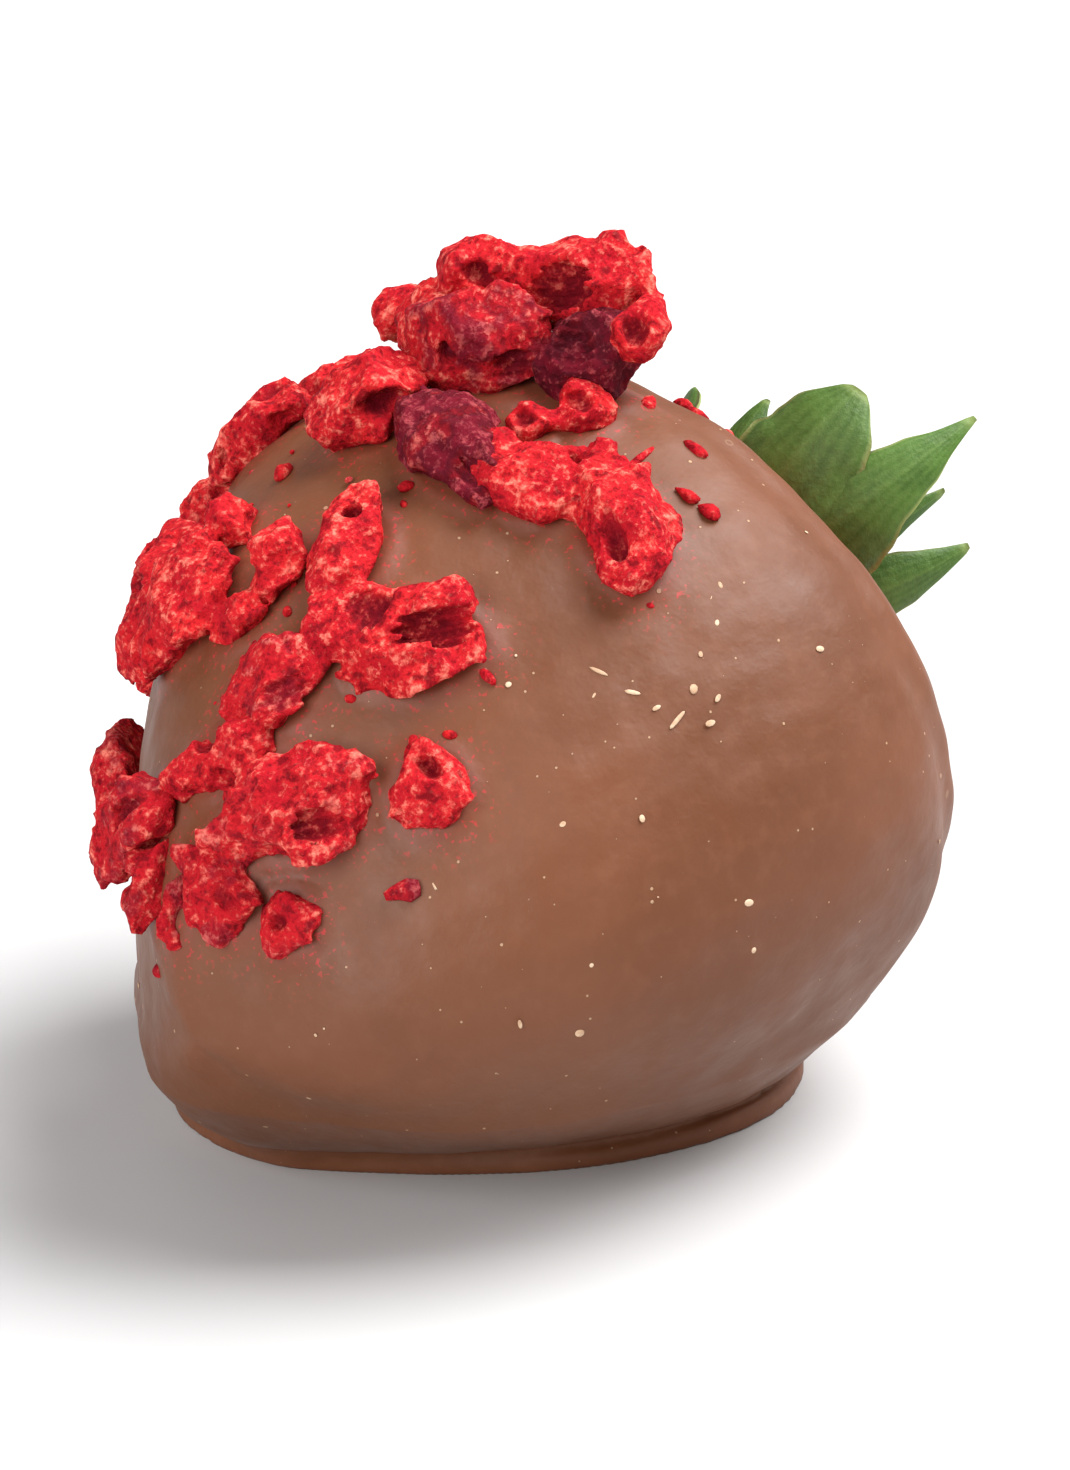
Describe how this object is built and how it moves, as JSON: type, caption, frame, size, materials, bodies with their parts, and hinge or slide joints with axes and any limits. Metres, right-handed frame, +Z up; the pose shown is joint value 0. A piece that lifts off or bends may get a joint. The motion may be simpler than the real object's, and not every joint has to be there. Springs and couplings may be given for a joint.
{
  "type": "chocolate-dipped strawberry",
  "caption": "Strawberry dipped in milk chocolate and topped with freeze-dried strawberry pieces, lying on its side on the flat foot its coat set with, leafy crown bare",
  "frame": {"origin": "on the surface that the foot rests on, below the middle of the whole", "axes": "+Z up; +X towards the leafy crown, -X towards the berry's tip; +Y to the side away from the picture's camera"},
  "size_m": [0.0554, 0.0505, 0.0484],
  "materials": {
    "milk_chocolate": "satin milk chocolate with red freeze-dried strawberry pieces stuck on",
    "strawberry_flesh": "moist red fruit skin",
    "sepal_green": "soft green leaf"
  },
  "bodies": {
    "root": {"chocolate_coat": "milk_chocolate", "strawberry": "strawberry_flesh", "calyx": "sepal_green"}
  },
  "joints": []
}
